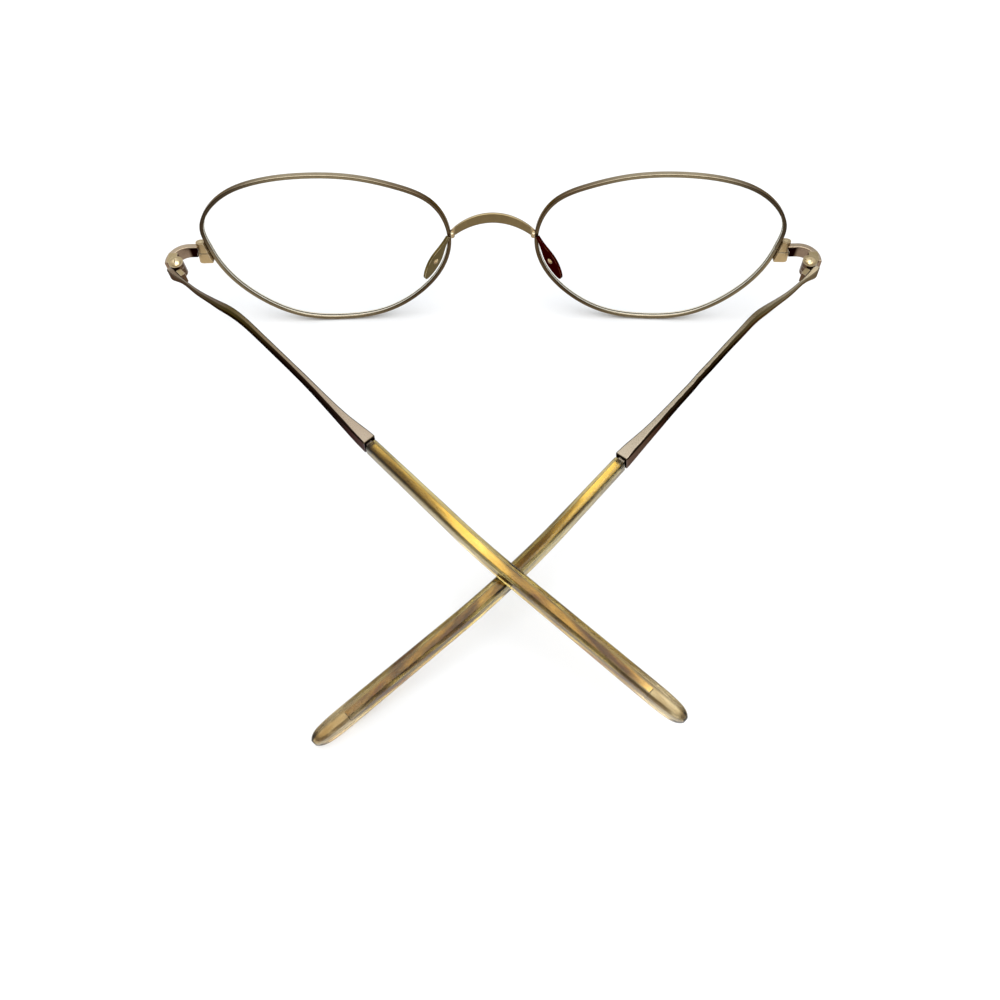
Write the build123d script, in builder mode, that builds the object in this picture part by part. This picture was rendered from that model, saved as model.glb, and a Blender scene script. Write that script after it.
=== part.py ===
from build123d import *
import os
from math import asin, cos, radians, sin, sqrt, tan

os.makedirs("parts", exist_ok=True)

# Oval eyeglasses, standing on their rims with the temples half folded and crossed.
# Millimetres and degrees. +X is the wearer's right, +Y the way the wearer looks, +Z up.
# The origin lies on the table, midway between the fronts of the rims and the rear tip.

# Stance of the whole pair
stand_forward = 45.5468     # origin to the eyewires' feet, along +Y
foot_height = 0.515871      # eyewire centre line above the table at its lowest point
front_lean = 12.5           # top of the front away from the wearer

# Eyes: the eyewires and the lenses follow one sphere each
eye_width = 50.9            # centre line of the eyewire, nose side to temple side
eye_height = 33.9
eye_gap = 18.4              # between the two centre lines at the nose
lens_curve = 108.0          # radius of the sphere
wrap_angle = 2.3            # temple side of each eye turned back
outline_shares = [          # nose side to temple side, bottom to top; the slit comes first
    (0.984, 0.55), (0.93, 0.355), (0.83, 0.18), (0.67, 0.036), (0.48, 0.0), (0.30, 0.045),
    (0.13, 0.205), (0.025, 0.42), (0.0, 0.62), (0.065, 0.83), (0.20, 0.925), (0.37, 0.982),
    (0.56, 1.0), (0.76, 0.977), (0.91, 0.893), (1.0, 0.70),
]

# Eyewire section
wire_face = 0.75            # seen from the front
wire_depth = 1.35           # front to back
wire_round = 0.18
groove_depth = 0.30
groove_width = 0.60
slit = 0.14                 # cut through the eyewire between the closing barrels

# Lens
lens_thickness = 1.10
lens_play = 0.04            # lens to eyewire, all round

# Closing barrels and their screw
barrel_out = 2.3            # beyond the eyewire's outer wall
barrel_deep = 2.0
barrel_tall = 2.25
barrel_round = 0.35
barrel_back = 0.45          # barrel centre behind the eyewire's centre line
rim_screw_radius = 0.50
rim_screw_head_radius = 0.80
rim_screw_head = 0.45
screw_fit = 0.05            # screw to hole, on the radius
slot_width = 0.24
slot_deep = 0.20
head_crown_share = 0.8      # rounding of a screw head, as a share of its height

# Bridge
bridge_end_height = 20.4    # above the eyewires' feet, along the front
bridge_rise = 3.5
bridge_bow = 1.5            # crest ahead of the ends
bridge_mid_tall = 2.2
bridge_end_tall = 1.15
bridge_thick = 0.70
bridge_back = 0.65          # ends behind the front's own plane
bridge_round = 0.22
bridge_stations = (-1, -0.6, -0.3, 0, 0.3, 0.6, 1)
bridge_lap = 0.5            # ends reach past the outer wall before they are fitted to it
solder_radius = 0.60
solder_back = 0.42          # bead centre behind the eyewire's centre line
solder_drop = -0.60
solder_round = 0.38
solder_in = 0.28            # bead centre from the eyewire's outer wall towards the nose

# Nose plates, in a plane of their own
plate_across = 11.9         # plate centre: from the middle of the front
plate_up = 16.7
plate_back = 2.9
plate_run = (0.50, -0.837, 0.24)
plate_face = (-0.67, -0.19, 0.73)
plate_long = 10.3
plate_wide = 3.2
plate_thick = 0.60
plate_top_wide = 0.7
plate_widest_share = 0.62   # from the top end
plate_neck_share = 0.24     # half width a quarter of the way down, against the widest
stud_radius = 0.42
stud_head_radius = 0.62
stud_head = 0.35
stud_share = 0.57           # along the plate from its top end

# Hinges: each screw stands on its own axis
pivot_across = 65.2
pivot_up = 17.5
pivot_back = 7.75
axis_back = 5.05            # top of both axes towards the wearer
axis_lean = {-1: 2.40, 1: 1.92}       # top of each axis towards the wearer's left
rest_fold = {-1: 43.8, 1: 41.5}       # each temple from straight back
knuckle_radius = 1.50
knuckle_mid = 1.24          # height of the temple's knuckle
knuckle_gap = 0.08
hinge_tall = 3.40
hinge_screw_radius = 0.58
hinge_head_radius = 1.05
hinge_head = 0.50
turning_gap = 0.12          # round whatever turns
web_long = 2.5
leaf_long = 3.4
leaf_thick = 1.0
leaf_tall = 2.5
leaf_start = 1.65           # behind the turning knuckles
web_wide = 1.9

# End pieces
lug_thick = 1.20
lug_tall = 3.0
lug_outer = 2.45            # outer face from the hinge axis
lug_radius = 4.40           # outer face of the bend
lug_straight = 0.55         # flat before the butt
lug_inner_end = -3.9        # end piece runs this far in over the barrel
butt_gap = 0.12             # end piece to temple when open

# Temples, lengths measured back from the hinge axis
ferrule_end = 61.0
bar_inset = 0.60            # middle of the core and the sleeve, inside the hinge axis
bar_round = 0.22
bar_stations = [            # length, inner face, outer face, height, radius along the outer top edge
    (butt_gap / 2, lug_outer - lug_thick, lug_outer, lug_tall, bar_round),
    (1.4, 1.24, 2.34, 2.45, bar_round), (3.2, 1.12, 1.88, 1.60, bar_round),
    (6.0, 0.90, 1.58, 1.36, 0.28), (9.0, 0.48, 1.34, 1.40, 0.34), (12.0, -0.22, 0.84, 1.50, 0.42),
    (14.2, -0.80, 0.50, 1.65, 0.48), (16.4, -1.32, 0.07, 1.85, 0.52), (19.0, -1.60, -0.28, 1.98, 0.52),
    (22.0, -1.64, -0.40, 2.00, 0.50), (26.0, -1.62, -0.44, 2.00, 0.50), (30.0, -1.59, -0.42, 2.00, 0.50),
    (34.0, -1.56, -0.38, 2.00, 0.50), (38.0, -1.52, -0.32, 2.02, 0.50), (42.0, -1.48, -0.22, 2.10, 0.50),
    (46.0, -1.44, -0.08, 2.26, 0.50), (50.0, -1.43, 0.10, 2.52, 0.49), (53.5, -1.52, 0.27, 2.76, 0.45),
    (56.5, -1.76, 0.42, 2.96, 0.40), (59.0, -1.98, 0.52, 3.10, 0.34), (ferrule_end, -2.10, 0.57, 3.16, 0.30),
]
roll_start, roll_end = 9.0, 24.0      # the outer face turns up a little along this run
sway = {-1: -0.22, 1: 0.22}    # the two bars were not bent quite alike between kink and flare
sway_run, sway_shares = (15.0, 22.0, 42.0, 56.0), (0, 1, 1, 0)
bar_roll = 5.0
ferrule_round = 0.20        # edges of the ferrule's end face
neck = 0.70                 # bare core between ferrule and sleeve

# Core wire inside the sleeve
core_end = 128.3
core_thick = 1.25
core_tall = 1.90
core_tip_thick = 0.80
core_tip_tall = 1.10

# Sleeves
bend_at = 92.0
bend_in = {-1: 6.1, 1: 10.0}
bend_down = 8.22316          # puts the right tip on the table
bend_radius = 150.0
temple_end = 135.5
sleeve_start_thick = 2.55
sleeve_bend_thick = 2.85
sleeve_tip_thick = 3.15
sleeve_start_tall = 3.15
sleeve_bend_tall = 3.75
sleeve_tip_tall = 4.25
sleeve_roll = 3.0
sleeve_round = 0.85
sleeve_step, sleeve_steps = 0.055, 17     # even stations as far as the tip
sleeve_shares = [(step * sleeve_step, 1.0) for step in range(sleeve_steps)] + [
    (0.92, 0.99), (0.945, 0.96), (0.965, 0.90), (0.981, 0.78), (0.992, 0.58), (1.0, 0.28),    # share of length, size
]
sleeve_fit = 0.03           # sleeve to core
overrun = 8.0               # how far cutting bodies reach past what they cut

half_eye = eye_width / 2
half_height = eye_height / 2

# The front's own plane: X across, Y up along the front, Z back towards the wearer
front = Plane(
    origin=(0, stand_forward, foot_height),
    x_dir=(1, 0, 0),
    z_dir=(0, -cos(radians(front_lean)), sin(radians(front_lean))),
)
# Each eye's plane, through the middle of the eye: -1 is the wearer's left, 1 the right
eyes = {
    side: Plane(
        front.location
        * Location((side * (eye_gap / 2 + half_eye), half_height, 0), (0, -side * wrap_angle, 0))
    )
    for side in (-1, 1)
}
to_sphere = Location((0, 0, sqrt(lens_curve**2 - half_height**2)), (90, 0, 0))
pivots = {side: front.from_local_coords((side * pivot_across, pivot_up, pivot_back)) for side in (-1, 1)}

outline_points = [((a - 0.5) * eye_width, (u - 0.5) * eye_height) for a, u in outline_shares]
outline = Spline(outline_points, periodic=True)


def dip(across, up):
    """How far back of the eye's plane the sphere lies at a point of the eye."""
    return sqrt(lens_curve**2 - half_height**2) - sqrt(lens_curve**2 - across**2 - up**2)


def eye_prism(side, grow):
    """Solid over the eye's outline, grown outwards from the eyewire's centre line."""
    grown = []
    for point in outline_points:
        run = outline.tangent_at(outline.param_at_point(point))
        grown.append((side * (point[0] - run.Y * grow), point[1] + run.X * grow))
    with BuildPart() as prism:
        with BuildSketch(eyes[side]):
            with BuildLine():
                Spline(grown, periodic=True)
            make_face()
        extrude(amount=overrun, both=True)
    return prism.part


def eye_shell(side, thickness):
    """Spherical shell about the surface that eyewire and lens follow."""
    with BuildPart() as shell:
        with Locations(eyes[side].location * to_sphere):
            Sphere(lens_curve + thickness / 2)
            Sphere(lens_curve - thickness / 2, mode=Mode.SUBTRACT)
    return shell.part


def eye_band(side, grow, thickness):
    """The part of the eye inside a grown outline that lies within a shell."""
    inside, within = eye_prism(side, grow), eye_shell(side, thickness)
    with BuildPart() as band:
        add(inside)
        add(within, mode=Mode.INTERSECT)
    return band.part


def hinge_plane(side, fold=0.0):
    """Plane square to a hinge axis: X along the temple at this fold, Z up the axis."""
    up = Vector(-tan(radians(axis_lean[side])), -tan(radians(axis_back)), 1).normalized()
    level = Vector(-side * sin(radians(fold)), -cos(radians(fold)), 0)
    along = level - Vector(0, 0, up.dot(level) / up.Z)
    return Plane(origin=pivots[side], x_dir=along.normalized(), z_dir=up)


def upright(plane):
    """The plane that stands on another one's X direction, with Y up the hinge axis."""
    return Plane(origin=plane.origin, x_dir=plane.x_dir, z_dir=-plane.y_dir)


def slab(plane, points, bends, reach):
    """Outline with rounded bends, extruded both ways from its plane."""
    with BuildPart() as body:
        with BuildSketch(plane) as face:
            with BuildLine():
                Polyline(*points, close=True)
            make_face()
            for spot, radius in bends:
                fillet(face.vertices().sort_by_distance(spot)[0], radius=radius)
        extrude(amount=reach, both=True)
    return body.part


def common(first, second):
    with BuildPart() as body:
        add(first)
        add(second, mode=Mode.INTERSECT)
    return body.part


def post(plane, radius, low, high):
    """Round post along a plane's own Z direction."""
    with BuildPart() as body:
        with BuildSketch(plane.offset(low)):
            Circle(radius)
        extrude(amount=high - low)
    return body.part


def domed(plane, shank_radius, low, seat, head_radius, head):
    """Turned piece: plain shank up to the seat, domed head above it."""
    edge = seat + head * (1 - head_crown_share)
    with BuildPart() as body:
        with BuildSketch(upright(plane)):
            with BuildLine():
                Polyline((0, low), (shank_radius, low), (shank_radius, seat), (head_radius, seat))
                Line((head_radius, seat), (head_radius, edge))
                RadiusArc(
                    (head_radius, edge), (0, seat + head),
                    -(head_radius**2 + (head * head_crown_share) ** 2) / (2 * head * head_crown_share),
                )
                Line((0, seat + head), (0, low))
            make_face()
        revolve(axis=Axis(plane.origin, plane.z_dir))
    return body.part


def slotted(plane, part, top, head_radius):
    """Cuts a screwdriver slot across a head."""
    with BuildPart() as body:
        add(part)
        with BuildSketch(plane.offset(top)):
            Rectangle(2 * head_radius, slot_width)
        extrude(amount=-slot_deep, mode=Mode.SUBTRACT)
    return body.part


def write(part, name):
    part.label = name
    export_step(part, f"parts/{name}.step")


def write_pair(part, name):
    """The right-hand piece and its mirror image."""
    with BuildPart() as twin:
        mirror(part, about=Plane.YZ)
    write(part, name + "_right")
    write(twin.part, name + "_left")


slit_across = (outline_shares[0][0] - 0.5) * eye_width
slit_up = (outline_shares[0][1] - 0.5) * eye_height
outer_walls = {side: eye_prism(side, wire_face / 2) for side in (-1, 1)}
wire_blanks = {side: eye_band(side, wire_face / 2, wire_depth) for side in (-1, 1)}

for side, name in ((-1, "left"), (1, "right")):
    # Eyewire: inner and outer wall, spherical faces, rounded edges, lens groove, slit
    wire_inner = eye_prism(side, -wire_face / 2)
    groove = eye_band(side, groove_depth - wire_face / 2, groove_width)
    with BuildPart() as rim:
        add(wire_blanks[side])
        add(wire_inner, mode=Mode.SUBTRACT)
        fillet(rim.edges().filter_by(lambda edge: edge.length > eye_width), radius=wire_round)
        add(groove, mode=Mode.SUBTRACT)
        with Locations(eyes[side].location * Location((side * slit_across, slit_up, 0))):
            Box(overrun, slit, overrun, mode=Mode.SUBTRACT)
    write(rim.part, "rim_" + name)

    # Lens: the body inside the eyewire and its edge in the groove
    lens_body = eye_band(side, -wire_face / 2 - lens_play, lens_thickness)
    lens_edge = eye_band(side, groove_depth - wire_face / 2 - lens_play, groove_width - 2 * lens_play)
    with BuildPart() as lens:
        add(lens_body)
        add(lens_edge)
    write(lens.part, "lens_" + name)

# Closing barrels on both sides of the slit: X outwards, Y forwards, Z up along the eye
barrel_radius = barrel_deep / 2
barrel_across = slit_across + wire_face / 2 + barrel_out - barrel_radius
closing = Plane(
    eyes[1].location
    * Location((barrel_across, slit_up, dip(barrel_across, slit_up) + barrel_back), (-90, 0, 0))
)
barrel_inside = barrel_out - barrel_radius + wire_face


def barrel(low, high):
    with BuildPart() as body:
        with BuildSketch(closing.offset(low)):
            Circle(barrel_radius)
            Rectangle(barrel_inside, barrel_deep, align=(Align.MAX, Align.CENTER))
        extrude(amount=high - low)
        add(outer_walls[1], mode=Mode.SUBTRACT)
        with BuildSketch(closing.offset(low)):
            Circle(rim_screw_radius + screw_fit)
        extrude(amount=high - low, mode=Mode.SUBTRACT)
    return body.part


write_pair(barrel(slit / 2, barrel_tall), "rim_barrel_upper")
write_pair(barrel(-barrel_tall, -slit / 2), "rim_barrel_lower")

# Closing screw, head below
closing_down = Plane(closing.location * Location((0, 0, 0), (180, 0, 0)))
rim_screw_blank = domed(
    closing_down, rim_screw_radius, -barrel_tall, barrel_tall, rim_screw_head_radius, rim_screw_head
)
write_pair(
    slotted(closing_down, rim_screw_blank, barrel_tall + rim_screw_head, rim_screw_head_radius),
    "rim_screw",
)

# Bridge: an arched band seen from the front, bowed forwards, fitted to both eyewires
bridge_half = eye_gap / 2 - wire_face / 2 + bridge_lap
arch_radius = (bridge_half**2 + bridge_rise**2) / (2 * bridge_rise)
crest = bridge_end_height + bridge_rise
bead_across = eye_gap / 2 - wire_face / 2 - solder_in
bead_spot = front.from_local_coords(
    (bead_across, bridge_end_height - solder_drop, bridge_back + solder_back)
)


def arch_plane(share):
    """Plane across the band, at a share of the way from its crest to its end."""
    turn = share * asin(bridge_half / arch_radius)
    across, up = arch_radius * sin(turn), crest - arch_radius * (1 - cos(turn))
    back = bridge_back - bridge_bow * (1 - (across / bridge_half) ** 2)
    along = Vector(cos(turn), -sin(turn), 2 * bridge_bow * across * cos(turn) / bridge_half**2).normalized()
    outwards = Vector(sin(turn), cos(turn), 0)
    outwards -= along * outwards.dot(along)
    local = Plane(origin=(across, up, back), x_dir=outwards, z_dir=along)
    return Plane(front.location * local.location)


with BuildPart() as bead:
    with BuildSketch(Plane(origin=bead_spot, x_dir=front.x_dir, z_dir=front.y_dir)):
        Circle(solder_radius)
    extrude(amount=solder_radius, both=True)
    fillet(bead.edges().filter_by(GeomType.CIRCLE), radius=solder_round)
    add(outer_walls[1], mode=Mode.SUBTRACT)
with BuildPart() as bridge:
    for share in bridge_stations:
        with BuildSketch(arch_plane(share)):
            tall = bridge_mid_tall + (bridge_end_tall - bridge_mid_tall) * share**2
            RectangleRounded(tall, bridge_thick, bridge_round)
    loft()
    add(outer_walls[1], mode=Mode.SUBTRACT)
    add(outer_walls[-1], mode=Mode.SUBTRACT)
    add(bead.part)
    mirror(bead.part, about=Plane.YZ)
write(bridge.part, "bridge")

# Nose plates and the studs that hold their pads
plate = Plane(
    front.location
    * Plane(origin=(plate_across, plate_up, plate_back), x_dir=plate_run, z_dir=plate_face).location
)
half_plate = plate_long / 2
widest = half_plate - (1 - plate_widest_share) * plate_long
stud_along = stud_share * plate_long - half_plate
with BuildPart() as nose_plate:
    with BuildSketch(plate):
        with BuildLine():
            Spline(
                (-half_plate, plate_top_wide / 2),
                (-half_plate / 2, plate_wide * plate_neck_share),
                (widest, plate_wide / 2),
                (half_plate, 0),
                (widest, -plate_wide / 2),
                (-half_plate / 2, -plate_wide * plate_neck_share),
                (-half_plate, -plate_top_wide / 2),
            )
            Line((-half_plate, -plate_top_wide / 2), (-half_plate, plate_top_wide / 2))
        make_face()
    extrude(amount=plate_thick / 2, both=True)
    with BuildSketch(plate.offset(-plate_thick / 2)):
        with Locations((stud_along, 0)):
            Circle(stud_radius)
    extrude(amount=plate_thick, mode=Mode.SUBTRACT)
    add(wire_blanks[1], mode=Mode.SUBTRACT)
write_pair(nose_plate.part, "nose_plate")
stud_plane = Plane(plate.location * Location((stud_along, 0, 0)))
write_pair(
    domed(stud_plane, stud_radius, -plate_thick / 2, plate_thick / 2, stud_head_radius, stud_head),
    "nose_stud",
)


def mirrored_to(side, part):
    """A right-hand part on its own side, or its mirror image."""
    if side == 1:
        return part
    with BuildPart() as twin:
        mirror(part, about=Plane.YZ)
    return twin.part


upper_cylinder = post(closing, barrel_radius, 0, barrel_tall + turning_gap)
lower_cylinder = post(closing, barrel_radius + turning_gap, -overrun, slit)
knuckle_low = knuckle_mid / 2 + knuckle_gap
bend_start = -butt_gap / 2 - lug_straight


def end_piece(side, base):
    outer, inner = side * lug_outer, side * (lug_outer - lug_thick)
    far, near = bend_start - lug_radius, bend_start - lug_radius + lug_thick
    end = side * lug_inner_end
    shape = slab(
        base,
        [
            (-butt_gap / 2, outer), (far, outer), (far, end),
            (near, end), (near, inner), (-butt_gap / 2, inner),
        ],
        [((far, outer), lug_radius), ((near, inner), lug_radius - lug_thick)],
        lug_tall / 2,
    )
    relief = post(base, knuckle_radius + turning_gap, -lug_tall, lug_tall)
    with BuildPart() as body:
        add(shape)
        level = body.edges().filter_by(lambda edge: abs((edge @ 1 - edge @ 0).dot(base.z_dir)) < bar_round)
        fillet(level, radius=bar_round)
        add(relief, mode=Mode.SUBTRACT)
        add(mirrored_to(side, upper_cylinder), mode=Mode.SUBTRACT)
        add(mirrored_to(side, lower_cylinder), mode=Mode.SUBTRACT)
    return body.part


def front_hinge(side, base, lug):
    half = hinge_tall / 2
    knuckles = post(base, knuckle_radius, -half, half)
    cleared = post(base, knuckle_radius + turning_gap, -knuckle_low, knuckle_low)
    web = slab(
        base,
        [(0, 0), (-web_long, 0), (-web_long, side * web_wide), (0, side * web_wide)],
        [],
        half - knuckle_gap,
    )
    with BuildPart() as body:
        add(knuckles)
        add(web)
        add(cleared, mode=Mode.SUBTRACT)
        add(lug, mode=Mode.SUBTRACT)
        add(post(base, hinge_screw_radius + screw_fit, -hinge_tall, hinge_tall), mode=Mode.SUBTRACT)
    return body.part


def between(x, stations, values):
    """Value at x on a run of straight steps between stations."""
    for start, end, low, high in zip(stations, stations[1:], values, values[1:]):
        if x <= end:
            return low + (high - low) * max(x - start, 0) / (end - start)
    return values[-1]


def section_plane(side, folded, x, outward, up, roll):
    """Plane across a temple, with X along the wearer's front and the outer side rolled up."""
    turn = radians(roll)
    across = folded.y_dir * cos(turn) + folded.z_dir * (side * sin(turn))
    centre = folded.from_local_coords((x, side * outward, up))
    return Plane(origin=centre, x_dir=across, z_dir=folded.x_dir)


def temple_outline(side, folded):
    """The bar from the butt to the end of the ferrule."""
    with BuildPart() as body:
        for x, inner, outer, tall, crown in bar_stations:
            roll = between(x, (roll_start, roll_end), (0, bar_roll))
            middle = (inner + outer) / 2 + sway[side] * between(x, sway_run, sway_shares)
            with BuildSketch(section_plane(side, folded, x, middle, 0, roll)):
                Rectangle(outer - inner, tall)
                fillet(vertices().filter_by(lambda spot: spot.X * side > 0 and spot.Y > 0), radius=crown)
                fillet(vertices().filter_by(lambda spot: spot.X * side < 0 or spot.Y < 0), radius=bar_round)
        loft()
        end_face = body.faces().sort_by(Axis(folded.origin, folded.x_dir))[-1]
        fillet(end_face.edges(), radius=ferrule_round)
    return body.part


def core_shape(side, folded, grow=0.0):
    """Core wire from inside the ferrule to its own tip, straight and then bent in and down."""
    start, run = ferrule_end - neck, core_end - bend_at
    drift, drop = run * tan(radians(bend_in[side])), run * tan(radians(bend_down))
    thick, tip = core_thick / 2 + grow, core_tip_thick / 2 + grow
    end = core_end + grow
    plan = [
        (start, -bar_inset + thick), (bend_at, -bar_inset + thick), (end, -bar_inset - drift + tip),
        (end, -bar_inset - drift - tip), (bend_at, -bar_inset - thick), (start, -bar_inset - thick),
    ]
    plan = [(x, side * o) for x, o in plan]
    tall, point = core_tall / 2 + grow, core_tip_tall / 2 + grow
    height = [
        (start, tall), (bend_at, tall), (end, -drop + point),
        (end, -drop - point), (bend_at, -tall), (start, -tall),
    ]
    return common(
        slab(folded, plan, [(plan[1], bend_radius), (plan[4], bend_radius)], 2 * overrun),
        slab(upright(folded), height, [(height[1], bend_radius), (height[4], bend_radius)], 2 * overrun),
    )


def temple_bar(side, folded):
    core = core_shape(side, folded)
    blank = temple_outline(side, folded)
    with BuildPart() as body:
        add(blank)
        add(post(folded, knuckle_radius + turning_gap, -overrun, overrun), mode=Mode.SUBTRACT)
        add(core)
    return body.part


def temple_hinge(side, folded, bar):
    half = knuckle_mid / 2
    knuckle = post(folded, knuckle_radius, -half, half)
    high = side * (lug_outer - lug_thick)
    low = high - side * leaf_thick
    tongue = slab(folded, [(0, low), (leaf_start, low), (leaf_start, high), (0, high)], [], half)
    plate_corners = [(leaf_start, low), (leaf_long, low), (leaf_long, high), (leaf_start, high)]
    leaf = slab(folded, plate_corners, [], leaf_tall / 2)
    with BuildPart() as body:
        add(knuckle)
        add(tongue)
        add(leaf)
        add(bar, mode=Mode.SUBTRACT)
        add(post(folded, hinge_screw_radius + screw_fit, -hinge_tall, hinge_tall), mode=Mode.SUBTRACT)
    return body.part


def bent(x, angle):
    """Sideways drift of the bent path at a distance from the hinge axis."""
    slope, half_bend = tan(radians(angle)), bend_radius * tan(radians(angle) / 2)
    if x < bend_at - half_bend:
        return 0.0
    if x < bend_at + half_bend:
        return slope * (x - bend_at + half_bend) ** 2 / (4 * half_bend)
    return slope * (x - bend_at)


def sleeve_blank(side, folded):
    """Sleeve over the core: slim at the ferrule, a rounded paddle at the tip."""
    stations = (ferrule_end + neck, bend_at, temple_end)
    thicks = (sleeve_start_thick, sleeve_bend_thick, sleeve_tip_thick)
    talls = (sleeve_start_tall, sleeve_bend_tall, sleeve_tip_tall)
    spots = [stations[0] + share * (temple_end - stations[0]) for share, size in sleeve_shares]
    sizes = [size for share, size in sleeve_shares]
    with BuildPart() as body:
        for x, size in zip(spots, sizes):
            outward = -bar_inset - bent(x, bend_in[side])
            with BuildSketch(section_plane(side, folded, x, outward, -bent(x, bend_down), sleeve_roll)):
                thick, tall = between(x, stations, thicks) * size, between(x, stations, talls) * size
                RectangleRounded(thick, tall, sleeve_round * size)
        loft()
    return body.part


def temple_sleeve(side, folded):
    blank = sleeve_blank(side, folded)
    bore = core_shape(side, folded, sleeve_fit)
    with BuildPart() as body:
        add(blank)
        add(bore, mode=Mode.SUBTRACT)
    return body.part


for side, name in ((-1, "left"), (1, "right")):
    base, folded = hinge_plane(side), hinge_plane(side, rest_fold[side])
    lug = end_piece(side, base)
    write(lug, "end_piece_" + name)
    write(front_hinge(side, base, lug), "front_hinge_" + name)
    head_seat = hinge_tall / 2
    hinge_blank = domed(base, hinge_screw_radius, -head_seat, head_seat, hinge_head_radius, hinge_head)
    write(slotted(base, hinge_blank, head_seat + hinge_head, hinge_head_radius), "hinge_screw_" + name)
    bar = temple_bar(side, folded)
    write(bar, "temple_bar_" + name)
    write(temple_hinge(side, folded, bar), "temple_hinge_" + name)
    write(temple_sleeve(side, folded), "temple_sleeve_" + name)
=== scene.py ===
from math import cos, radians, sin

import bpy
from mathutils import Matrix, Vector

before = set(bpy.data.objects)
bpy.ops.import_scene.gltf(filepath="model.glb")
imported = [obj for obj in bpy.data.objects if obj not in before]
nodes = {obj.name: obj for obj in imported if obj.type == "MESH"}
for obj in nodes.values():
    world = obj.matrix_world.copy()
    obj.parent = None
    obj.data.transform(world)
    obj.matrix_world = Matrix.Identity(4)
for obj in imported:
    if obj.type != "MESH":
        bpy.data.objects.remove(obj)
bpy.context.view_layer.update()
print("frame loaded:", len(nodes), "nodes")

millimetre = 0.001
white = (1.0, 1.0, 1.0)
whole = (0.0, 1.0)
bumpDeep = 0.02 * millimetre


# node tree helpers

def opaque(colour):
    return (*colour, 1.0)


def newTree(name):
    material = bpy.data.materials.new(name)
    material.use_nodes = True
    material.node_tree.nodes.clear()
    return material, material.node_tree


def addNode(tree, kind, **values):
    node = tree.nodes.new(kind)
    for name, value in values.items():
        setattr(node, name, value)
    return node


def feed(tree, socket, value):
    if isinstance(value, bpy.types.NodeSocket):
        tree.links.new(value, socket)
    elif value is not None:
        socket.default_value = value


def mathNode(tree, operation, first, second=None):
    node = addNode(tree, "ShaderNodeMath", operation=operation)
    feed(tree, node.inputs[0], first)
    feed(tree, node.inputs[1], second)
    return node.outputs[0]


def mixColours(tree, share, first, second, blend="MIX"):
    node = addNode(tree, "ShaderNodeMix", data_type="RGBA", blend_type=blend, clamp_factor=True)
    feed(tree, node.inputs[0], share)
    feed(tree, node.inputs[6], first)  # A and B of a colour mix are its inputs 6 and 7
    feed(tree, node.inputs[7], second)
    return node.outputs[2]


def mixShaders(tree, share, first, second):
    node = addNode(tree, "ShaderNodeMixShader")
    for socket, value in zip(node.inputs, (share, first, second)):
        feed(tree, socket, value)
    return node.outputs[0]


# a smooth ramp: while the source runs through its span, the value goes through the result's two numbers
def smoothStep(tree, source, span, result=whole):
    node = addNode(tree, "ShaderNodeMapRange", interpolation_type="SMOOTHSTEP")
    feed(tree, node.inputs["Value"], source)
    for socket, value in zip(("From Min", "From Max", "To Min", "To Max"), (*span, *result)):
        node.inputs[socket].default_value = value
    return node.outputs[0]


def noise(tree, vector, scale, detail=2.0, roughness=0.5):
    node = addNode(tree, "ShaderNodeTexNoise")
    feed(tree, node.inputs["Vector"], vector)
    feed(tree, node.inputs["Scale"], scale)
    node.inputs["Detail"].default_value = detail
    node.inputs["Roughness"].default_value = roughness
    return node.outputs[0]


def ramp(tree, share, stops):
    node = addNode(tree, "ShaderNodeValToRGB")
    feed(tree, node.inputs[0], share)
    elements = node.color_ramp.elements
    for spot, colour in stops[2:]:
        elements.new(spot)
    for element, (spot, colour) in zip(elements, stops):
        element.position = spot
        element.color = opaque(colour)
    return node.outputs["Color"]


def coordinates(tree, kind):
    return addNode(tree, "ShaderNodeTexCoord").outputs[kind]


def separate(tree, vector):
    node = addNode(tree, "ShaderNodeSeparateXYZ")
    feed(tree, node.inputs[0], vector)
    return node.outputs


def principled(tree, **values):
    shader = addNode(tree, "ShaderNodeBsdfPrincipled")
    for name, value in values.items():
        shader.inputs[name.replace("_", " ")].default_value = value
    return shader


def bumped(tree, shader, height, values):
    bump = addNode(tree, "ShaderNodeBump")
    bump.inputs["Strength"].default_value = values["bump"]
    bump.inputs["Distance"].default_value = bumpDeep
    feed(tree, bump.inputs["Height"], height)
    feed(tree, shader.inputs["Normal"], bump.outputs[0])


def finish(tree, surface):
    output = addNode(tree, "ShaderNodeOutputMaterial")
    feed(tree, output.inputs["Surface"], surface)


# the surface, made clear and lightly shaded for the rays that it lets pass
def finishClear(tree, passed, surface, shade):
    passing = addNode(tree, "ShaderNodeBsdfTransparent")
    passing.inputs["Color"].default_value = opaque(shade)
    finish(tree, mixShaders(tree, passed, surface, passing.outputs[0]))


def newGroup(name, inputs, outputs):
    group = bpy.data.node_groups.new(name, "ShaderNodeTree")
    for label, kind, value in inputs:
        socket = group.interface.new_socket(label, in_out="INPUT", socket_type=kind)
        if value is not None:
            socket.default_value = value
    for label in outputs:
        group.interface.new_socket(label, in_out="OUTPUT", socket_type="NodeSocketFloat")
    return group, addNode(group, "NodeGroupInput").outputs, addNode(group, "NodeGroupOutput").inputs


def place(tree, group, **values):
    node = addNode(tree, "ShaderNodeGroup", node_tree=group)
    for name, value in values.items():
        feed(tree, node.inputs[name], value)
    return node.outputs


# effects that the materials share

satin = dict(scale=9000.0, detail=3.0, roughness=0.65, tone=(0.32, 0.68), cloudScale=0.04, cloud=(0.35, 0.65))


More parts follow.
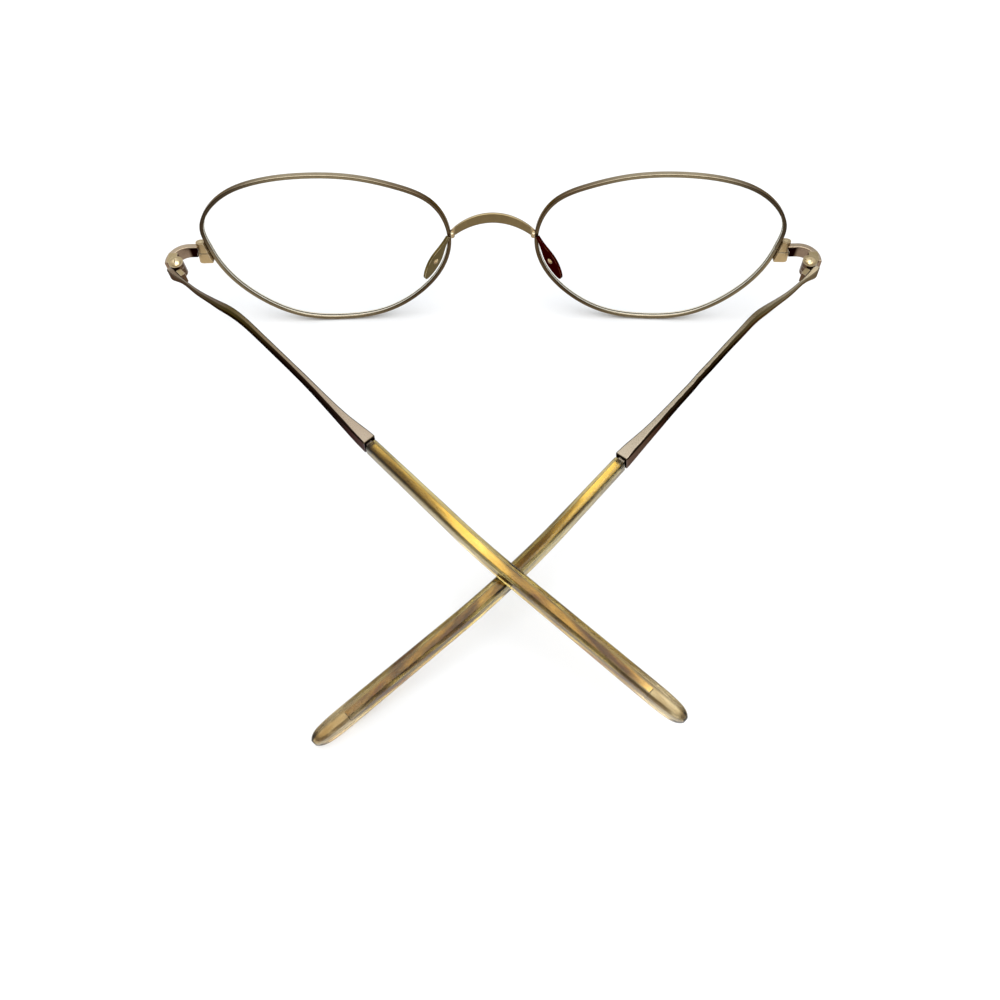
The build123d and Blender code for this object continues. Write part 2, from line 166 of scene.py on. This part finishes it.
def makeSatinGrain():
    group, given, result = newGroup(
        "satinGrain",
        [("Vector", "NodeSocketVector", None), ("Scale", "NodeSocketFloat", satin["scale"])],
        ["Tone", "Cloud", "Height"],
    )
    fine = noise(group, given["Vector"], given["Scale"], satin["detail"], satin["roughness"])
    cloud = noise(group, given["Vector"], mathNode(group, "MULTIPLY", given["Scale"], satin["cloudScale"]))
    feed(group, result["Tone"], smoothStep(group, fine, satin["tone"]))
    feed(group, result["Cloud"], smoothStep(group, cloud, satin["cloud"]))
    feed(group, result["Height"], fine)
    return group


# worn edges: rounded edges broken into patches, partly rubbed metal and partly a painted edge highlight
wearingAndHighlight = dict(radius=0.0002, samples=6, turn=(0.01, 0.14), breakup=900.0, detail=3.0, patches=(0.32, 0.6))


def makeEdgeWearAndHighlight():
    group, given, result = newGroup(
        "edgeWearAndHighlight",
        [("Radius", "NodeSocketFloat", wearingAndHighlight["radius"]), ("Breakup", "NodeSocketFloat", wearingAndHighlight["breakup"])],
        ["Worn"],
    )
    rounded = addNode(group, "ShaderNodeBevel", samples=wearingAndHighlight["samples"])
    feed(group, rounded.inputs["Radius"], given["Radius"])
    agreement = addNode(group, "ShaderNodeVectorMath", operation="DOT_PRODUCT")
    feed(group, agreement.inputs[0], rounded.outputs[0])
    feed(group, agreement.inputs[1], addNode(group, "ShaderNodeNewGeometry").outputs["Normal"])
    turned = mathNode(group, "SUBTRACT", 1.0, agreement.outputs["Value"])
    edge = smoothStep(group, turned, wearingAndHighlight["turn"])
    breakup = noise(group, coordinates(group, "Object"), given["Breakup"], wearingAndHighlight["detail"])
    patches = smoothStep(group, breakup, wearingAndHighlight["patches"])
    feed(group, result["Worn"], mathNode(group, "MULTIPLY", edge, patches))
    return group


# how much a face looks up (crisp takes only the flattest part) and where the sides begin, for painted light and
# shade
facingSpans = dict(soft=(0.72, 0.97), sharp=(0.95, 0.992), shoulder=(0.10, 0.34))


# painted light and shade: the Up and Shoulder shares pick a lit colour for tops and a shaded one for sides
def makePaintedLightFacing():
    group, given, result = newGroup("paintedLightFacing", [("Crisp", "NodeSocketFloat", 0.0)], ["Up", "Shoulder"])
    rise = separate(group, coordinates(group, "Normal"))["Z"]
    soft, sharp, shoulder = (smoothStep(group, rise, span) for span in facingSpans.values())
    turn = mathNode(group, "MULTIPLY", given["Crisp"], mathNode(group, "SUBTRACT", sharp, soft))
    feed(group, result["Up"], mathNode(group, "ADD", soft, turn))
    feed(group, result["Shoulder"], shoulder)
    return group


endFace = (0.80, 0.95)  # where a face counts as a temple's end, by its normal along the temple


# the share of a temple's length from its hinge, for a temple turned by Turn from straight back
def makeAlong():
    group, given, result = newGroup(
        "along",
        [(name, "NodeSocketFloat", value) for name, value in (("Turn", 0.0), ("Start", 0.0), ("Length", 0.13))],
        ["Share", "End"],
    )
    sine = mathNode(group, "SINE", given["Turn"])
    cosine = mathNode(group, "COSINE", given["Turn"])
    lengths = []
    for kind in ("Object", "Normal"):
        apart = separate(group, coordinates(group, kind))
        across = mathNode(group, "MULTIPLY", apart["X"], sine)
        back = mathNode(group, "MULTIPLY", apart["Y"], cosine)
        lengths.append(mathNode(group, "SUBTRACT", across, back))
    run = mathNode(group, "ADD", lengths[0], given["Start"])
    feed(group, result["Share"], mathNode(group, "DIVIDE", run, given["Length"]))
    feed(group, result["End"], smoothStep(group, lengths[1], endFace))
    return group


satinGrain = makeSatinGrain()
edgeWearAndHighlight = makeEdgeWearAndHighlight()
paintedLightFacing = makePaintedLightFacing()
along = makeAlong()
print("shared effects made")


# metals: each plating has a colour for faces that look up, for the shoulders between them and the
# sides, and for the sides: painted light on the tops and painted shade on the sides of one metal; and a
# colour for worn edges, partly wear and partly a painted edge highlight; grazing tints what a dark face
# mirrors at a flat angle

platings = {
    "rimWire": dict(
        up=(0.66, 0.58, 0.42), shoulder=(0.17, 0.13, 0.075), side=(0.26, 0.205, 0.12), wornAndHighlight=(0.92, 0.86, 0.72),
        rough=0.24, grain=14000, bump=0.05, wearAndHighlightRadius=0.00010, grazing=(0.55, 0.48, 0.40)),
    "bridgeWire": dict(
        up=(0.55, 0.45, 0.26), shoulder=(0.26, 0.19, 0.09), side=(0.17, 0.12, 0.055), wornAndHighlight=(1.0, 0.94, 0.76),
        rough=0.34, grain=12000, bump=0.08, wearAndHighlightRadius=0.00024, grazing=white),
    "endPiece": dict(
        up=(0.50, 0.41, 0.30), shoulder=(0.30, 0.225, 0.15), side=(0.27, 0.19, 0.13), wornAndHighlight=(0.85, 0.75, 0.60),
        rough=0.28, grain=12000, bump=0.07, wearAndHighlightRadius=0.00010, grazing=(0.30, 0.20, 0.16)),
    "closingBlock": dict(
        up=(0.62, 0.48, 0.27), shoulder=(0.54, 0.40, 0.21), side=(0.48, 0.34, 0.17), wornAndHighlight=(0.80, 0.70, 0.50),
        rough=0.40, grain=9000, bump=0.12, wearAndHighlightRadius=0.00020, grazing=white),
    "hingeKnuckle": dict(
        up=(0.46, 0.37, 0.21), shoulder=(0.28, 0.20, 0.10), side=(0.11, 0.060, 0.028), wornAndHighlight=(0.85, 0.72, 0.58),
        rough=0.30, grain=10000, bump=0.08, wearAndHighlightRadius=0.00016, grazing=white),
    "brightScrew": dict(
        up=(0.92, 0.76, 0.46), shoulder=(0.80, 0.62, 0.34), side=(0.26, 0.17, 0.08), wornAndHighlight=(1.0, 0.93, 0.76),
        rough=0.20, grain=9000, bump=0.05, wearAndHighlightRadius=0.00010, grazing=white),
    # the nose plates are one metal: the right plate's dark red is a painted dark reflection
    "nosePlateLeft": dict(
        up=(0.20, 0.145, 0.045), shoulder=(0.16, 0.115, 0.035), side=(0.11, 0.078, 0.022),
        wornAndHighlight=(0.70, 0.58, 0.36), rough=0.33, grain=9000, bump=0.10, wearAndHighlightRadius=0.00016, grazing=white),
    "nosePlateRight": dict(
        up=(0.065, 0.004, 0.002), shoulder=(0.045, 0.002, 0.001), side=(0.030, 0.001, 0.001),
        wornAndHighlight=(0.30, 0.13, 0.07), rough=0.33, grain=9000, bump=0.10, wearAndHighlightRadius=0.00016, grazing=(0.40, 0.10, 0.08)),
}

# painted light across the front: what its faces are multiplied by inside and outside of a distance from its
# middle, and for the rims the dark upper outer arcs; the rims' darker middle is painted shade, their upper
# outer arcs painted dark reflections, the bridge's bright ends a painted highlight, and the end pieces' dark
# red inner sides a painted dark reflection
allFaces = ("side", "shoulder", "up")
paintedFrontLight = {
    "rimWire": dict(faces=allFaces, span=(0.014, 0.032), inner=(0.42, 0.36, 0.32), outer=white,
                    corner=(0.040, 0.056), above=(0.016, 0.024), dark=(0.30, 0.27, 0.27)),
    "bridgeWire": dict(faces=allFaces, span=(0.0078, 0.0082), inner=white, outer=(2.2, 2.3, 2.8)),
    "endPiece": dict(faces=("side",), span=(0.0628, 0.0637), inner=(0.03, 0.006, 0.004), outer=white),
}

# a temple's colours change along it: share of its length, then the colour; the hinge is at 0, the kink
# at 0.135, the ferrule's end at 0.469, then the dark neck, and the core wire from 0.480. The up, shoulder
# and side ramps are painted light and shade: a painted dark kink, painted dark sides on the bar, a painted
# highlight on the core's top, and the left temple painted darker than the right
temples = {
    "templeLeft": dict(
        up=((0.0, (0.30, 0.25, 0.19)), (0.10, (0.18, 0.14, 0.11)), (0.135, (0.12, 0.09, 0.035)),
            (0.20, (0.26, 0.20, 0.12)), (0.33, (0.44, 0.36, 0.27)), (0.43, (0.58, 0.48, 0.37)),
            (0.468, (0.62, 0.52, 0.40)), (0.471, (0.03, 0.02, 0.013)), (0.477, (0.03, 0.02, 0.013)),
            (0.480, (0.96, 0.90, 0.70))),
        shoulder=((0.0, (0.12, 0.09, 0.065)), (0.135, (0.07, 0.052, 0.016)), (0.25, (0.022, 0.012, 0.006)),
                  (0.468, (0.022, 0.013, 0.010)), (0.472, (0.50, 0.40, 0.22))),
        side=((0.0, (0.17, 0.14, 0.12)), (0.135, (0.06, 0.044, 0.015)), (0.24, (0.020, 0.011, 0.005)),
              (0.385, (0.016, 0.009, 0.007)), (0.44, (0.14, 0.115, 0.12)), (0.468, (0.19, 0.16, 0.165)),
              (0.471, (0.02, 0.013, 0.01)), (0.477, (0.02, 0.013, 0.01)), (0.480, (0.055, 0.036, 0.014))),
        end=(0.025, 0.016, 0.012), wornAndHighlight=(0.60, 0.50, 0.40), rough=0.30, grain=16000, bump=0.10, wearAndHighlightRadius=0.00006,
        grazing=(0.26, 0.22, 0.20), turn=43.8, start=0.0752, length=0.130, stretch=(1, 0.12, 1)),
    "templeRight": dict(
        up=((0.0, (0.50, 0.44, 0.32)), (0.10, (0.40, 0.35, 0.25)), (0.135, (0.24, 0.19, 0.11)),
            (0.20, (0.48, 0.41, 0.29)), (0.33, (0.60, 0.52, 0.39)), (0.43, (0.70, 0.61, 0.47)),
            (0.468, (0.72, 0.63, 0.49)), (0.471, (0.03, 0.02, 0.013)), (0.477, (0.03, 0.02, 0.013)),
            (0.480, (0.98, 0.93, 0.72))),
        shoulder=((0.0, (0.30, 0.25, 0.17)), (0.135, (0.13, 0.10, 0.045)), (0.25, (0.028, 0.017, 0.006)),
                  (0.468, (0.026, 0.017, 0.011)), (0.472, (0.55, 0.45, 0.25))),
        side=((0.0, (0.26, 0.22, 0.16)), (0.135, (0.13, 0.10, 0.05)), (0.24, (0.038, 0.022, 0.006)),
              (0.36, (0.055, 0.038, 0.020)), (0.42, (0.20, 0.16, 0.14)), (0.468, (0.24, 0.19, 0.17)),
              (0.471, (0.02, 0.013, 0.01)), (0.477, (0.02, 0.013, 0.01)), (0.480, (0.06, 0.04, 0.016))),
        end=(0.025, 0.016, 0.012), wornAndHighlight=(0.66, 0.56, 0.42), rough=0.30, grain=16000, bump=0.10, wearAndHighlightRadius=0.00006,
        grazing=(0.26, 0.22, 0.20), turn=-41.5, start=0.0744, length=0.130, stretch=(1, 0.12, 1)),
}

# what grain, handling and rubbing do to every plating; the worn edges' share also sets a painted edge highlight
handling = dict(grit=0.35, gritColour=(0.55, 0.5, 0.47), dust=0.25, dustColour=(0.75, 0.68, 0.62), wornAndHighlight=0.8,
                smoother=0.06, rougher=0.08)


# coordinates in line with a temple, for patterns drawn out along it by the stretch
def drawnAlong(tree, where, turn, stretch):
    turned = addNode(tree, "ShaderNodeMapping", vector_type="TEXTURE")
    feed(tree, turned.inputs["Vector"], where)
    turned.inputs["Rotation"].default_value = (0, 0, radians(turn))
    drawn = addNode(tree, "ShaderNodeMapping")
    feed(tree, drawn.inputs["Vector"], turned.outputs[0])
    drawn.inputs["Scale"].default_value = stretch
    return drawn.outputs[0]


def placeAlong(tree, values):
    return place(tree, along, Turn=radians(values["turn"]), Start=values["start"], Length=values["length"])


# painted light: the lit colour on faces that look up, the shaded colour on the sides, shoulders between
def paintLightByFacing(tree, face, colours):
    base = mixColours(tree, face["Shoulder"], colours["side"], colours["shoulder"])
    return mixColours(tree, face["Up"], base, colours["up"])


def finishMetal(tree, base, grain, values):
    grit = mathNode(tree, "MULTIPLY", grain["Tone"], handling["grit"])
    base = mixColours(tree, grit, base, opaque(handling["gritColour"]), "MULTIPLY")
    dust = mathNode(tree, "MULTIPLY", grain["Cloud"], handling["dust"])
    base = mixColours(tree, dust, base, opaque(handling["dustColour"]), "MULTIPLY")
    # worn edges, coloured as wear and as a painted edge highlight
    wornAndHighlight = place(tree, edgeWearAndHighlight, Radius=values["wearAndHighlightRadius"])["Worn"]
    base = mixColours(tree, mathNode(tree, "MULTIPLY", wornAndHighlight, handling["wornAndHighlight"]), base, opaque(values["wornAndHighlight"]))
    shader = principled(tree, Metallic=1.0, Specular_Tint=opaque(values["grazing"]))
    feed(tree, shader.inputs["Base Color"], base)
    span = (values["rough"] - handling["smoother"], values["rough"] + handling["rougher"])
    feed(tree, shader.inputs["Roughness"], smoothStep(tree, grain["Tone"], whole, span))
    bumped(tree, shader, grain["Height"], values)
    finish(tree, shader.outputs[0])


# paints light and shade by place across the front, on the chosen faces
def paintFrontLight(tree, where, colours, tone):
    apart = separate(tree, where)
    out = mathNode(tree, "ABSOLUTE", apart["X"])
    shade = mixColours(tree, smoothStep(tree, out, tone["span"]), opaque(tone["inner"]), opaque(tone["outer"]))
    # the rims' painted dark reflection on the upper outer arcs
    if "corner" in tone:
        corner = smoothStep(tree, out, tone["corner"])
        above = smoothStep(tree, apart["Z"], tone["above"])
        shade = mixColours(tree, mathNode(tree, "MULTIPLY", corner, above), shade, opaque(tone["dark"]))
    for part in tone["faces"]:
        colours[part] = mixColours(tree, 1.0, colours[part], shade, "MULTIPLY")


def platedMetal(name, values):
    material, tree = newTree(name)
    where = coordinates(tree, "Object")
    grain = place(tree, satinGrain, Vector=where, Scale=values["grain"])
    colours = {part: opaque(values[part]) for part in allFaces}
    if name in paintedFrontLight:
        paintFrontLight(tree, where, colours, paintedFrontLight[name])
    finishMetal(tree, paintLightByFacing(tree, place(tree, paintedLightFacing), colours), grain, values)
    return material


def platedTemple(name, values):
    material, tree = newTree(name)
    brushed = drawnAlong(tree, coordinates(tree, "Object"), values["turn"], values["stretch"])
    grain = place(tree, satinGrain, Vector=brushed, Scale=values["grain"])
    run = placeAlong(tree, values)
    # painted light and shade along the temple, by its ramps and by facing
    colours = {part: ramp(tree, run["Share"], values[part]) for part in allFaces}
    base = paintLightByFacing(tree, place(tree, paintedLightFacing, Crisp=1.0), colours)
    finishMetal(tree, mixColours(tree, run["End"], base, opaque(values["end"])), grain, values)
    return material


metals = {name: platedMetal(name, values) for name, values in platings.items()}
metals.update({name: platedTemple(name, values) for name, values in temples.items()})
print("platings made:", len(metals))


# the honey sleeves: clear and dense amber by share of the temple's length, the tint of the gloss on the
# faces (gleam) and at the outline (shadow), and a painted dark shade line along the rounded long edges

amber = dict(
    clear=((0.48, (0.78, 0.63, 0.27)), (0.70, (0.80, 0.64, 0.26)), (0.79, (0.50, 0.36, 0.075)),
           (0.95, (0.46, 0.32, 0.085)), (0.985, (0.74, 0.60, 0.33))),
    dense=((0.48, (0.17, 0.105, 0.014)), (0.70, (0.17, 0.105, 0.014)), (0.79, (0.085, 0.026, 0.006)),
           (0.95, (0.085, 0.024, 0.006)), (0.985, (0.30, 0.19, 0.07))),
    gleam=(0.95, 0.87, 0.66), shadow=(0.20, 0.148, 0.026), index=1.49, shade=(0.88, 0.87, 0.86),
    streak=560.0, streaks=(0.36, 0.64), stretch=(1, 0.07, 1),
    line=(0.020, 0.009, 0.003), lineStart=(0.15, 0.40), lineEnd=(0.76, 0.94), lineDepth=(0.55, 0.92),
    scuff=5200.0, scuffs=(0.3, 0.7), rough=(0.05, 0.12), bump=0.05,
)

# painted shade at the outline: the amber is darkened where it turns away at a flat angle, for its dense look
outline = dict(blend=0.5, span=(0.70, 0.90), share=0.85, colour=(0.006, 0.003, 0.002), rough=0.4, gloss=0.1)


def sleeveAmber(name, values):
    material, tree = newTree(name)
    share = placeAlong(tree, values)["Share"]
    where = coordinates(tree, "Object")
    drawn = drawnAlong(tree, where, values["turn"], amber["stretch"])
    streaks = smoothStep(tree, noise(tree, drawn, amber["streak"]), amber["streaks"])
    colour = mixColours(tree, streaks, ramp(tree, share, amber["clear"]), ramp(tree, share, amber["dense"]))
    # painted shade: a dark line along the rounded long edges, deeper where the streaks are dense
    rise = separate(tree, coordinates(tree, "Normal"))["Z"]
    rounded = mathNode(tree, "MULTIPLY", smoothStep(tree, rise, amber["lineStart"]),
                       smoothStep(tree, rise, amber["lineEnd"], (1.0, 0.0)))
    depth = smoothStep(tree, streaks, whole, amber["lineDepth"])
    colour = mixColours(tree, mathNode(tree, "MULTIPLY", rounded, depth), colour, opaque(amber["line"]))
    # painted shade by the flat angle to the view: darker colour, gloss tint and a dark shader at the outline
    leaning = addNode(tree, "ShaderNodeLayerWeight")
    leaning.inputs["Blend"].default_value = outline["blend"]
    edge = smoothStep(tree, leaning.outputs["Facing"], outline["span"])
    shader = principled(tree, IOR=amber["index"], Transmission_Weight=1.0)
    feed(tree, shader.inputs["Specular Tint"],
         mixColours(tree, edge, opaque(amber["gleam"]), opaque(amber["shadow"])))
    feed(tree, shader.inputs["Base Color"], mixColours(tree, edge, colour, opaque(outline["colour"])))
    scuffs = noise(tree, where, amber["scuff"])
    feed(tree, shader.inputs["Roughness"], smoothStep(tree, scuffs, amber["scuffs"], amber["rough"]))
    bumped(tree, shader, scuffs, amber)
    dark = principled(tree, Base_Color=opaque(outline["colour"]), Roughness=outline["rough"],
                      Specular_IOR_Level=outline["gloss"])
    outlined = mixShaders(tree, mathNode(tree, "MULTIPLY", edge, outline["share"]),
                          shader.outputs[0], dark.outputs[0])
    rays = addNode(tree, "ShaderNodeLightPath")
    finishClear(tree, rays.outputs["Is Shadow Ray"], outlined, amber["shade"])
    return material


# the clear lenses, with the ground bevel all round where the surface turns away from the lens's axis

lensGlass = dict(colour=(0.985, 0.992, 0.99), index=1.3, shade=(0.955, 0.968, 0.985),
                 smear=90.0, smearDetail=4.0, smearRoughness=0.6, smears=(0.5, 0.8), rough=(0.0, 0.03))
lensBevel = dict(colour=(0.90, 0.84, 0.68), rough=0.55, lean=12.5, span=(0.50, 0.70))  # lean in degrees


def lensClear():
    material, tree = newTree("clearLens")
    glass = principled(tree, Base_Color=opaque(lensGlass["colour"]), IOR=lensGlass["index"],
                       Transmission_Weight=1.0)
    smears = noise(tree, coordinates(tree, "Object"), lensGlass["smear"], lensGlass["smearDetail"],
                   lensGlass["smearRoughness"])
    feed(tree, glass.inputs["Roughness"], smoothStep(tree, smears, lensGlass["smears"], lensGlass["rough"]))
    ground = principled(tree, Base_Color=opaque(lensBevel["colour"]), Roughness=lensBevel["rough"])
    axis = addNode(tree, "ShaderNodeVectorMath", operation="DOT_PRODUCT")
    feed(tree, axis.inputs[0], coordinates(tree, "Normal"))
    lean = radians(lensBevel["lean"])
    axis.inputs[1].default_value = (0, cos(lean), sin(lean))
    facingOut = smoothStep(tree, mathNode(tree, "ABSOLUTE", axis.outputs["Value"]), lensBevel["span"])
    lens = mixShaders(tree, facingOut, ground.outputs[0], glass.outputs[0])
    rays = addNode(tree, "ShaderNodeLightPath")
    unseen = mathNode(tree, "MAXIMUM", rays.outputs["Is Shadow Ray"], rays.outputs["Is Diffuse Ray"])
    finishClear(tree, unseen, lens, lensGlass["shade"])
    return material


sleeves = {side: sleeveAmber(side + "HoneySleeve", temples["temple" + side.capitalize()])
           for side in ("left", "right")}
clearLens = lensClear()
print("amber and glass made")


# the solids keep their shape, and each is given its finish

finishes = {
    "rim": metals["rimWire"], "rim_barrel_upper": metals["closingBlock"],
    "rim_barrel_lower": metals["closingBlock"], "rim_screw": metals["brightScrew"],
    "nose_stud": metals["brightScrew"], "end_piece": metals["endPiece"],
    "front_hinge": metals["hingeKnuckle"], "hinge_screw": metals["brightScrew"],
    "temple_hinge": metals["hingeKnuckle"], "lens": clearLens,
}


def dress(node, material):
    solid = nodes[node]
    solid.data.materials.clear()
    solid.data.materials.append(material)


for side in ("left", "right"):
    for piece, material in finishes.items():
        dress(piece + "_" + side, material)
    dress("temple_bar_" + side, metals["temple" + side.capitalize()])
    dress("temple_sleeve_" + side, sleeves[side])
    dress("nose_plate_" + side, metals["nosePlate" + side.capitalize()])
dress("bridge", metals["bridgeWire"])
print("solids dressed")


# floor, light and camera

studio = dict(floorSize=2.4, floor=(0.93, 0.94, 0.95), floorRough=0.9, sky=0.62, lampSize=0.9)
lamps = {
    "mainLamp": dict(place=(0.05, -0.14, 0.85), power=5.8),
    "fillLamp": dict(place=(-0.5, 0.5, 0.7), power=1.0),
}


def makeFloor():
    data = bpy.data.meshes.new("floor")
    half = studio["floorSize"] / 2
    corners = [(-half, -half, 0), (half, -half, 0), (half, half, 0), (-half, half, 0)]
    data.from_pydata(corners, [], [(0, 1, 2, 3)])
    floor = bpy.data.objects.new("floor", data)
    bpy.context.scene.collection.objects.link(floor)
    material, tree = newTree("floorPaper")
    paper = principled(tree, Base_Color=opaque(studio["floor"]), Roughness=studio["floorRough"],
                       Specular_IOR_Level=0.0)
    finish(tree, paper.outputs[0])
    data.materials.append(material)


def makeLamp(name, values):
    data = bpy.data.lights.new(name, "AREA")
    data.shape = "SQUARE"
    data.size = studio["lampSize"]
    data.energy = values["power"]
    lamp = bpy.data.objects.new(name, data)
    lamp.location = values["place"]
    lamp.rotation_euler = (-Vector(values["place"])).to_track_quat("-Z", "Y").to_euler()  # at the origin
    bpy.context.scene.collection.objects.link(lamp)


def makeSky():
    world = bpy.data.worlds.new("studio")
    world.use_nodes = True
    bpy.context.scene.world = world
    background = world.node_tree.nodes["Background"]
    background.inputs["Color"].default_value = opaque(white)
    background.inputs["Strength"].default_value = studio["sky"]


# place in millimetres, angles in degrees, pitch below level
view = dict(place=(3.01, -109.2532, 168.8259), pitch=57.84, yaw=-0.78, roll=-0.68, lens=36.0, sensor=36.0,
            nearest=0.01, farthest=20.0)


def makeCamera():
    pitch, yaw, roll = (radians(view[name]) for name in ("pitch", "yaw", "roll"))
    forward = Vector((sin(yaw) * cos(pitch), cos(yaw) * cos(pitch), -sin(pitch)))
    right = Vector((cos(yaw), -sin(yaw), 0))
    up = right.cross(forward)
    across = right * cos(roll) + up * sin(roll)
    upward = up * cos(roll) - right * sin(roll)
    turn = Matrix((across, upward, -forward)).transposed()
    data = bpy.data.cameras.new("camera")
    data.sensor_width = view["sensor"]
    data.lens = view["lens"]
    data.clip_start = view["nearest"]
    data.clip_end = view["farthest"]
    camera = bpy.data.objects.new("camera", data)
    camera.matrix_world = Matrix.Translation(Vector(view["place"]) * millimetre) @ turn.to_4x4()
    bpy.context.scene.collection.objects.link(camera)
    bpy.context.scene.camera = camera


makeFloor()
for name, values in lamps.items():
    makeLamp(name, values)
makeSky()
makeCamera()
bpy.context.scene.view_settings.view_transform = "Standard"
print("studio ready")
